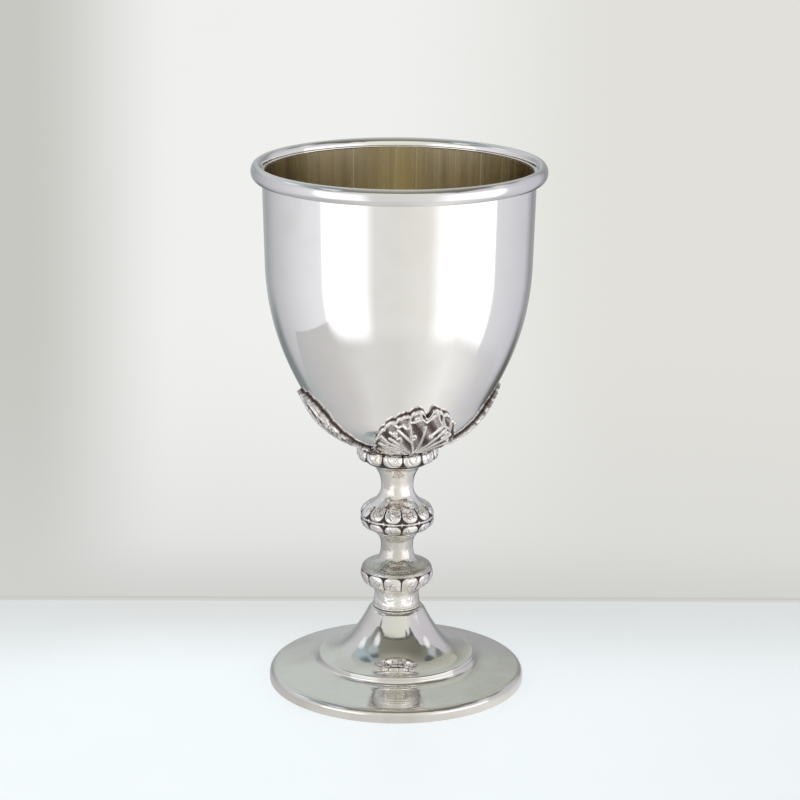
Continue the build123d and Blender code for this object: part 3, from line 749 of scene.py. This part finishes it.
LEAF_RIDGES = (  # raised veins and wires: (half width, height, points)
    (0.30, 0.55, ((0.0, 1.2), (0.1, 12.8))),
    (0.32, 0.55, ((-0.1, 1.8), (-2.8, 7.0), (-8.0, 12.0))),
    (0.32, 0.52, ((-1.2, 1.6), (-5.6, 5.6), (-9.8, 8.8))),
    (0.30, 0.50, ((-2.6, 1.2), (-7.5, 3.8), (-12.0, 6.6))),
    (0.28, 0.45, ((-3.6, 0.8), (-8.0, 2.0), (-11.2, 4.0))),
    (0.24, 0.40, ((-3.2, 1.7), (-7.4, 2.9), (-10.2, 4.7))),
    (0.24, 0.40, ((-4.2, 3.2), (-8.2, 5.8), (-10.6, 7.4))),
    (0.24, 0.38, ((-4.8, 0.6), (-8.6, 1.3))),
    (0.26, 0.42, ((-5.4, 4.4), (-8.6, 6.4), (-11.6, 8.0))),
    (0.26, 0.42, ((-4.6, 2.8), (-8.6, 4.9))),
    (0.28, 0.45, ((-10.2, 11.2), (-8.0, 9.4))),
    (0.28, 0.42, ((-12.4, 9.6), (-10.4, 7.6))),
    (0.28, 0.50, ((-7.5, 8.6), (-6.9, 9.1), (-6.3, 8.4), (-5.9, 6.8), (-5.2, 5.6))),
    (0.30, 0.58, ((-5.0, 16.0), (-5.1, 14.4), (-4.4, 12.8), (-3.8, 10.2), (-3.5, 8.9))),
    (0.32, 0.6, ((-2.5, 18.9), (-2, 17.2), (-1.3, 15.8), (0.1, 14.6), (1.4, 15.7), (3, 17), (2.3, 18.8))),
    (0.30, 0.55, ((-5.0, 14.9), (-3.6, 14.8), (-1.4, 15.8))),
    (0.30, 0.55, ((-10.3, 15.0), (-9.0, 13.7), (-8.1, 13.0), (-7.0, 13.8), (-5.8, 12.6), (-4.5, 12.8))),
    (0.30, 0.55, ((2.4, 18.6), (3.6, 17.2), (4.1, 15.2), (5.0, 13.8), (5.7, 12.6))),
    (0.32, 0.58, ((5.8, 12.5), (4.4, 11.2), (2.9, 9.6))),
    (0.28, 0.45, ((0.4, 1.8), (3.6, 6.6), (7.2, 11.2))),
    (0.28, 0.48, ((1.2, 1.5), (5.6, 5.4), (9.4, 8.6))),
    (0.28, 0.45, ((2.4, 1.2), (6.6, 3.2), (10.0, 5.0))),
    (0.26, 0.45, ((5.7, 12.6), (6.7, 12.2), (7.9, 11.4), (8.7, 10.2))),
    (0.28, 0.50, ((5.4, 16.0), (5.7, 14.2), (6.4, 13.0))),
    (0.28, 0.50, ((7.9, 14.9), (8.3, 13.0), (8.7, 11.0))),
    (0.26, 0.45, ((6.6, 7.6), (8.8, 9.4))),
)
# Across, up, radius.
LEAF_RINGS = ((-2.85, 9.1, 0.72), (-2.9, 15.9, 0.55), (-8.7, 10.6, 0.5), (7.6, 9.6, 0.5))
LEAF_BULBS = ((2.6, 9.0, 0.85), (-9.7, 6.2, 0.5), (-6.6, 3.0, 0.45), (9.0, 6.4, 0.5))
LEAF_HOLLOWS = ((0.4, 17.0, 1.5), (-6.3, 15.2, 1.3), (6.4, 15.0, 0.9))  # darkest spots behind the wires


def leaf_reach(directions):
    """Distance from the hub to the leaf's edge in each direction, with a small scallop between
    neighbouring points of the edge."""
    ring = []
    points = np.array(LEAF_EDGE)
    for a, b in zip(points, np.roll(points, -1, 0)):
        chord = b - a
        swell = 0.0 if a[1] < 0.5 and b[1] < 0.5 else 0.17
        for t in np.linspace(0, 1, 9)[:-1]:
            ring.append(a + chord * t + np.array((-chord[1], chord[0])) * swell * 4 * t * (1 - t))
    ring = np.array(ring) - LEAF_HUB
    angle = np.arctan2(ring[:, 0], ring[:, 1])
    order = np.argsort(angle)
    return np.interp(directions, angle[order], np.hypot(ring[order, 0], ring[order, 1]), period=2 * pi)


def leaf_relief(across, up, share):
    """Height of the cast relief above the leaf's ground, and its shade. share is how far out each
    point is towards the edge."""
    height = 0.03 * np.sin(across * 2.1 + 1.0) * np.sin(up * 1.7) + 0.015 * np.sin(across * 5.3 + up * 4.1)
    bright = np.zeros(across.shape)
    for half_width, rise, points in LEAF_RIDGES:
        near = distance_to(points, across, up)
        height = np.maximum(height, rise * np.sqrt(np.clip(1 - (near / (half_width * 1.35)) ** 2, 0, 1)))
        bright = np.maximum(bright, np.clip(1.8 - near / half_width, 0, 1))
    for x, y, r in LEAF_RINGS:
        near = np.abs(np.hypot(across - x, up - y) - r)
        height = np.maximum(height, 0.55 * np.sqrt(np.clip(1 - (near / 0.4) ** 2, 0, 1)))
        bright = np.maximum(bright, np.clip(1.5 - near / 0.3, 0, 1))
    for x, y, r in LEAF_BULBS:
        near = np.hypot(across - x, up - y)
        height = np.maximum(height, 0.75 * np.sqrt(np.clip(1 - (near / r) ** 2, 0, 1)))
        bright = np.maximum(bright, np.clip(1.4 - near / r, 0, 1))
    rim = np.clip((share - 0.945) / 0.03, 0, 1)
    beads = 0.5 + 0.1 * np.sin(np.arctan2(across, up) * 80)
    fall = np.clip((share - 0.975) / 0.025, 0, 1)
    height = np.maximum(height, beads * np.sin(np.clip((share - 0.93) / 0.035, 0, 1) * pi / 2) - 0.12 * fall)
    bright = np.maximum(bright, rim)
    shade = 1 - bright
    for x, y, r in LEAF_HOLLOWS:
        hollow = np.exp(-((across - x) ** 2 + (up - y) ** 2) / r**2) * (1 - bright)
        height = height - 0.35 * hollow
    return height, shade * (0.66 + 0.16 * np.sin(across * 1.3 + up * 0.9))


def on_cup(across, up, off, azimuth):
    """Points at a distance off the cup's outer side, for a leaf that faces an azimuth."""
    side = cup_side(0.0, TOP_Z - 50, 200)
    out = normals(side, False)
    r = np.interp(LEAF_FOOT_Z + up, side[:, 1] + 1.0 * out[:, 1], side[:, 0] + 1.0 * out[:, 0])
    height = LEAF_FOOT_Z + up
    slope_r = np.interp(height, side[:, 1] + 1.0 * out[:, 1], out[:, 0])
    slope_z = np.interp(height, side[:, 1] + 1.0 * out[:, 1], out[:, 1])
    swing = np.arcsin(np.clip(across / r, -0.98, 0.98)) + azimuth
    distance = r + (off - 1.0) * slope_r
    return np.stack([distance * np.sin(swing), -distance * np.cos(swing), height + (off - 1.0) * slope_z], -1)


def make_leaf(node, azimuth, rings=150, spokes=420):
    share = np.linspace(0, 1, rings + 1)[1:] ** 0.8
    direction = np.linspace(-pi, pi, spokes, endpoint=False)
    reach = leaf_reach(direction)
    across = LEAF_HUB[0] + share[:, None] * reach * np.sin(direction)
    up = LEAF_HUB[1] + share[:, None] * reach * np.cos(direction)
    share_grid = share[:, None] + 0 * across
    height, shade = leaf_relief(across, up, share_grid)
    front = on_cup(across, up, LEAF_FRONT + height, radians(azimuth))
    gap = LEAF_BACK * (1 - np.clip((share_grid - 0.9) / 0.1, 0, 1) ** 2) + 0.02
    back = on_cup(across[::6], up[::6], gap[::6], radians(azimuth))
    hub_front = on_cup(*(np.array([[v]]) for v in LEAF_HUB), np.array([[LEAF_FRONT + 0.3]]), radians(azimuth))
    hub_back = on_cup(*(np.array([[v]]) for v in LEAF_HUB), np.array([[LEAF_BACK]]), radians(azimuth))
    edge_back = on_cup(across[-1:], up[-1:], gap[-1:], radians(azimuth))
    layers = np.concatenate([front, edge_back, back[::-1]])
    index = np.arange(layers.shape[0] * spokes).reshape(-1, spokes)
    beside = np.roll(index, -1, 1)
    faces = np.stack([index[:-1], index[1:], beside[1:], beside[:-1]], -1).reshape(-1, 4).tolist()
    first, last = index.size, index.size + 1
    faces += [(first, a, b) for a, b in zip(index[0], beside[0])]
    faces += [(last, b, a) for a, b in zip(index[-1], beside[-1])]
    points = np.concatenate([layers.reshape(-1, 3), hub_front.reshape(1, 3), hub_back.reshape(1, 3)])
    # Painted shadow: the side wall under the bright rim is given full shade.
    painted_rim_shadow = np.full(spokes, 1.0)
    back_shade = np.full((layers.shape[0] - shade.shape[0] - 1) * spokes, 0.5)
    shades = np.concatenate([shade.ravel(), painted_rim_shadow, back_shade, [0.3, 0.5]])
    leaf = make_object(node + "_cast", points, faces, LEAF, {"shade": shades}, 48.0)
    piece_for(leaf, "leaf_silver", node)


# ---------------------------- studio
# Rings of the room as the silver shows it: (azimuth, screen colour) pairs.
WALL = (
    *((-180, (186, 190, 190)), (-150, (158, 162, 165)), (-132, (186, 186, 190)), (-84, (224, 224, 228))),
    *((-70, (232, 232, 236)), (-62, (236, 236, 238)), (-36, (236, 236, 236)), (-26, (222, 221, 219))),
    *((0, (222, 221, 217)), (26, (230, 228, 224)), (40, (240, 239, 236)), (85, (236, 236, 238))),
    *((92, (216, 216, 220)), (136, (197, 196, 204)), (150, (146, 146, 150)), (180, (170, 172, 173))),
)
HIGH_WALL = (
    *((-180, (200, 207, 203)), (-150, (202, 206, 206)), (-120, (205, 206, 211)), (-70, (218, 218, 222))),
    *((-50, (222, 222, 219)), (0, (224, 226, 216)), (40, (230, 230, 226)), (60, (216, 213, 218))),
    *((90, (208, 204, 212)), (140, (197, 196, 204)), (154, (152, 152, 144)), (180, (200, 207, 203))),
)
CEILING = (
    *((-180, (206, 208, 202)), (-140, (188, 193, 190)), (-115, (168, 182, 190)), (-90, (160, 168, 172))),
    *((-72, (142, 142, 134)), (-40, (134, 134, 123)), (0, (130, 129, 119)), (40, (124, 123, 112))),
    *((75, (117, 116, 106)), (105, (134, 135, 128)), (140, (176, 177, 168)), (180, (206, 208, 202))),
)
TABLE = (
    *((-180, (150, 156, 158)), (-125, (172, 176, 178)), (-90, (190, 189, 190)), (-60, (199, 197, 196))),
    *((-35, (216, 215, 213)), (0, (212, 211, 207)), (25, (224, 223, 220)), (48, (238, 237, 235))),
    *((70, (224, 223, 222)), (95, (202, 201, 204)), (130, (186, 186, 190)), (180, (150, 156, 158))),
)
SKYLINE = (  # (azimuth, elevation) of the line where walls meet the ceiling
    *((-180, 52), (-150, 50), (-128, 40), (-108, 37), (-90, 33), (-72, 29)),
    *((-60, 31), (-40, 42), (-20, 45.5)),
    *((0, 46.5), (20, 45.5), (40, 42), (57, 35.5), (68, 40), (80, 44), (90, 41), (104, 34), (140, 34)),
    *((154, 28), (166, 36), (180, 52)),
)
SOFTBOXES = ((-68.5, 1.5, -27.0, 8.0), (35.0, 11.0, 89.5, 1.2))  # azimuth and softness of each side
SOFTBOX_LIGHT = 1.35
LOW_CORNERS = (  # dark patches low behind the cup: azimuths and elevations from clear to full, colour
    (142.2, 154.8, -17.0, -24.0, (98, 99, 95)),
    (-135.0, -149.4, -15.0, -22.0, (128, 134, 136)),
)
LAMPS = (  # (azimuth, elevation, angular radius, screen colour, blend)
    (-64, 43, 9, (255, 255, 255), 1.0),
    (-84, 63, 8, (84, 94, 106), 0.75),
    (-77, 52, 12, (196, 208, 218), 0.6),
    (-106, 35, 9, (255, 255, 255), 1.0),
    (-120, 59, 9, (84, 94, 106), 0.75),
    (-114, 46, 14, (184, 200, 208), 0.5),
    (98, 36, 8, (255, 255, 255), 1.0),
    (118, 56, 8, (72, 80, 92), 0.8),
    (112, 43, 11, (206, 216, 226), 0.6),
    (126, 40, 8, (84, 92, 100), 0.6),
    (36, 41, 3.5, (74, 76, 82), 0.9),
    (51, 36.5, 4, (78, 76, 86), 0.9),
    (-60, 30.5, 4, (104, 104, 110), 0.8),
)


def turn_at(azimuth):
    """An azimuth as a turn, which runs from 0 at azimuth -180 to 1 at azimuth 180."""
    return (azimuth + 180) / 360


def ring(nodes, turn, stops):
    """Colour round the room at a turn, from (azimuth, screen colour) pairs."""
    gain = 1.06  # makes up for what the silver itself takes away
    lights = [(turn_at(azimuth), tuple(gain * c for c in light_from(*colour))) for azimuth, colour in stops]
    return nodes.ramp(turn, lights)


def turn_of(nodes, x, y):
    turn = nodes.math("DIVIDE", nodes.math("ARCTAN2", x, nodes.math("MULTIPLY", y, -1.0)), 2 * pi)
    return nodes.math("ADD", turn, 0.5)


def in_band(nodes, value, start, end, soft):
    rising = nodes.between(value, start - soft, start + soft)
    return nodes.math("MULTIPLY", rising, nodes.between(value, end - soft, end + soft, 1.0, 0.0))


def direction(azimuth, elevation):
    azimuth, elevation = radians(azimuth), radians(elevation)
    return (sin(azimuth) * cos(elevation), -cos(azimuth) * cos(elevation), sin(elevation))


def make_world():
    world = bpy.data.worlds.new("studio")
    bpy.context.scene.world = world
    world.use_nodes = True
    nodes = Nodes(world.node_tree)
    place = nodes.add("ShaderNodeTexCoord").outputs["Generated"]
    x, y, z = nodes.split(place)
    turn = turn_of(nodes, x, y)
    elevation = nodes.math("MULTIPLY", nodes.math("ARCSINE", z), 180 / pi)
    colour = ring(nodes, turn, WALL)
    colour = nodes.mix(nodes.between(elevation, 8.0, 26.0), colour, ring(nodes, turn, HIGH_WALL))
    for start, start_soft, end, end_soft in SOFTBOXES:
        rising = nodes.between(turn, turn_at(start - start_soft), turn_at(start + start_soft))
        falling = nodes.between(turn, turn_at(end + end_soft), turn_at(end - end_soft))
        side = nodes.math("MULTIPLY", rising, falling)
        lit = nodes.math("MULTIPLY", side, nodes.between(elevation, 12.0, 26.0, 1.0, 0.0))
        colour = nodes.mix(lit, colour, (SOFTBOX_LIGHT, SOFTBOX_LIGHT, SOFTBOX_LIGHT * 1.01))
    for clear, full, clear_height, full_height, tint in LOW_CORNERS:
        beside = nodes.between(turn, turn_at(clear), turn_at(full))
        under = nodes.between(elevation, clear_height, full_height)
        colour = nodes.mix(nodes.math("MULTIPLY", beside, under), colour, light_from(*tint))
    below = nodes.between(elevation, -30.0, -41.0)
    colour = nodes.mix(below, colour, ring(nodes, turn, TABLE))
    skyline = nodes.ramp(turn, [(turn_at(a), (e / 90,) * 3) for a, e in SKYLINE])
    above = nodes.math("SUBTRACT", elevation, nodes.math("MULTIPLY", skyline, 90.0))
    overhead = nodes.between(elevation, 58.0, 84.0)
    ceiling = nodes.mix(overhead, ring(nodes, turn, CEILING), light_from(176, 173, 164))
    colour = nodes.mix(nodes.between(above, -0.8, 0.8), colour, ceiling)
    front = in_band(nodes, turn, 0.33, 0.66, 0.02)
    cornice = nodes.math("MULTIPLY", in_band(nodes, above, 0.2, 3.6, 0.6), front)
    colour = nodes.mix(nodes.math("MULTIPLY", cornice, 0.8), colour, light_from(92, 92, 98))
    for azimuth, height, size, tint, blend in LAMPS:
        node = nodes.add("ShaderNodeVectorMath", operation="DOT_PRODUCT")
        nodes.put(node.inputs[0], place)
        node.inputs[1].default_value = direction(azimuth, height)
        spot = nodes.between(node.outputs["Value"], cos(radians(size)), cos(radians(size * 0.35)), 0.0, blend)
        colour = nodes.mix(spot, colour, light_from(*tint))
    background = nodes.add("ShaderNodeBackground")
    nodes.put(background.inputs["Color"], colour)
    output = nodes.add("ShaderNodeOutputWorld")
    nodes.put(output.inputs["Surface"], background.outputs[0])


def stage_plane(name, x_range, y_range, z, material):
    (x0, x1), (y0, y1) = x_range, y_range
    mesh = bpy.data.meshes.new(name)
    mesh.from_pydata([(x0, y0, z), (x1, y0, z), (x1, y1, z), (x0, y1, z)], [], [(0, 1, 2, 3)])
    mesh.materials.append(material)
    plane = bpy.data.objects.new(name, mesh)
    bpy.context.scene.collection.objects.link(plane)
    return plane


SHELF_X, SHELF_FRONT = (-0.6, 0.6), -0.6
SHELF_BACK, SHELF_TURN = 0.0697, 0.0128  # metres and radians: its back isn't quite square to the camera
TABLE_X, TABLE_Y = (-0.24, 0.21), (-0.16, 0.0712)  # the shelf as the metal reflects it


def floor_material():
    material, nodes = new_material("table_top")
    place = nodes.add("ShaderNodeTexCoord").outputs["Object"]
    mottle = nodes.noise(place, 30.0, 3.0)
    colour = nodes.mix(mottle, (0.78, 0.80, 0.81), (0.76, 0.785, 0.80))
    shader = nodes.add("ShaderNodeBsdfPrincipled")
    nodes.put(shader.inputs["Base Color"], colour)
    nodes.put(shader.inputs["Roughness"], nodes.between(mottle, 0.3, 0.7, 0.35, 0.45))
    x, y, _ = nodes.split(place)
    # The shelf is lit from the front, so it is dimmer towards the wall and at its back corners.
    glow = nodes.mix(nodes.between(y, 0.07, 0.0), (0.58, 0.57, 0.57), (0.95, 1.02, 1.07))
    glow = nodes.mix(nodes.between(x, 0.02, 0.14, 0.0, 0.3), glow, (0.70, 0.73, 0.75))
    painted_side_shade = nodes.math("MAXIMUM", nodes.between(x, 0.0, 0.07), nodes.between(x, -0.07, -0.13))
    corner_shade = nodes.math("MULTIPLY", painted_side_shade, nodes.between(y, -0.03, 0.05, 0.0, 0.4))
    glow = nodes.mix(corner_shade, glow, (0.56, 0.60, 0.62))
    nodes.put(shader.inputs["Emission Color"], glow)
    shader.inputs["Emission Strength"].default_value = 0.52
    output = nodes.add("ShaderNodeOutputMaterial")
    nodes.put(output.inputs["Surface"], shader.outputs[0])
    return material


def glow_material(name, build, clear=None):
    """A surface that only gives off the colour that build makes from its nodes and position, and
    that fades away where clear gives 1."""
    material, nodes = new_material(name)
    place = nodes.add("ShaderNodeTexCoord").outputs["Object"]
    shader = nodes.add("ShaderNodeEmission")
    nodes.put(shader.inputs["Color"], build(nodes, place))
    if clear is not None:
        blend = nodes.add("ShaderNodeMixShader")
        nodes.put(blend.inputs[0], clear(nodes, place))
        nodes.put(blend.inputs[1], shader.outputs[0])
        nodes.put(blend.inputs[2], nodes.add("ShaderNodeBsdfTransparent").outputs[0])
        shader = blend
    output = nodes.add("ShaderNodeOutputMaterial")
    nodes.put(output.inputs["Surface"], shader.outputs[0])
    return material


def seen_only_by(thing, kind):
    """Hides a stage object from every kind of ray but one."""
    for other in ("camera", "diffuse", "glossy", "transmission", "shadow"):
        setattr(thing, "visible_" + other, other == kind)


def make_floor():
    floor = stage_plane("floor", SHELF_X, (SHELF_FRONT, SHELF_BACK), 0.0, floor_material())
    floor.rotation_euler.z = SHELF_TURN
    floor.visible_glossy = False

    # A camera-only dark strip along the shelf's back edge: a painted shadow where the shelf meets the wall.
    def shadow_colour(nodes, place):
        return nodes.mix(nodes.noise(place, 8.0), light_from(200, 199, 196), light_from(204, 203, 200))

    look = glow_material("painted_joint_shadow", shadow_colour)
    joint_shadow = stage_plane("painted_joint_shadow", SHELF_X, (SHELF_BACK - 0.0001, SHELF_BACK + 0.0022), 0.0008, look)
    joint_shadow.rotation_euler.z = SHELF_TURN
    seen_only_by(joint_shadow, "camera")


def make_mirrored_table():
    """The shelf as the silver reflects it, a little way under the one that the camera sees."""

    # Its glow has the shelf's light and shade painted in round the axis: brighter to the front right, darker
    # to the left and the back.
    def table_colour(nodes, place):
        x, y, _ = nodes.split(place)
        return ring(nodes, turn_of(nodes, x, y), TABLE)

    def clear_edges(nodes, place):
        x, y, _ = nodes.split(place)
        return nodes.math("MAXIMUM", nodes.between(y, -0.095, -0.153), nodes.between(x, 0.13, 0.208))

    look = glow_material("mirrored_table", table_colour, clear_edges)
    seen_only_by(stage_plane("mirrored_table", TABLE_X, TABLE_Y, -0.0002, look), "glossy")


def make_backdrop():
    def wall_colour(nodes, place):
        x, _, z = nodes.split(place)
        cloud = nodes.noise(place, 1.6, 4.0)
        colour = nodes.mix(cloud, light_from(238, 239, 236), light_from(242, 243, 242))
        colour = nodes.mix(nodes.between(x, -0.1, 0.6), colour, light_from(225, 224, 219))
        colour = nodes.mix(nodes.between(x, -0.55, -0.95), colour, light_from(199, 200, 194))
        # Painted shade low on the wall near the shelf, and a narrower painted shadow just above the joint.
        colour = nodes.mix(nodes.between(z, -1.3, -2.4), colour, light_from(214, 214, 212))
        return nodes.mix(nodes.between(z, -1.82, -2.06), colour, light_from(207, 207, 204))

    bpy.ops.mesh.primitive_uv_sphere_add(segments=64, ring_count=32, radius=6.0)
    backdrop = bpy.context.object
    backdrop.name = "backdrop"
    backdrop.data.materials.append(glow_material("backdrop", wall_colour))
    seen_only_by(backdrop, "camera")


def make_camera():
    camera = bpy.data.cameras.new("camera")
    camera.sensor_width = 36.0
    camera.lens = 121.04
    camera.clip_end = 50.0
    holder = bpy.data.objects.new("camera", camera)
    bpy.context.scene.collection.objects.link(holder)
    pitch, roll = radians(90 - 15.53), radians(0.40)
    place = Matrix.Translation((0.00066, -0.8019, 0.3139))
    holder.matrix_world = place @ Matrix.Rotation(pitch, 4, "X") @ Matrix.Rotation(roll, 4, "Z")
    bpy.context.scene.camera = holder


def main():
    make_cup()
    make_collar()
    make_upper_spool()
    make_upper_knop()
    make_lower_spool()
    make_lower_knop()
    make_ferrule()
    make_foot()
    make_foot_ring()
    make_rod()
    make_nut_and_washer()
    for node, azimuth in LEAF_AZIMUTHS:
        make_leaf(node, azimuth)
    for node in ("rim_wire", "bowl_boss"):
        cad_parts[node].data.materials.clear()
        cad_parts[node].data.materials.append(PLAIN)
    make_world()
    make_floor()
    make_mirrored_table()
    make_backdrop()
    make_camera()
    bpy.context.scene.view_settings.view_transform = "Standard"


main()
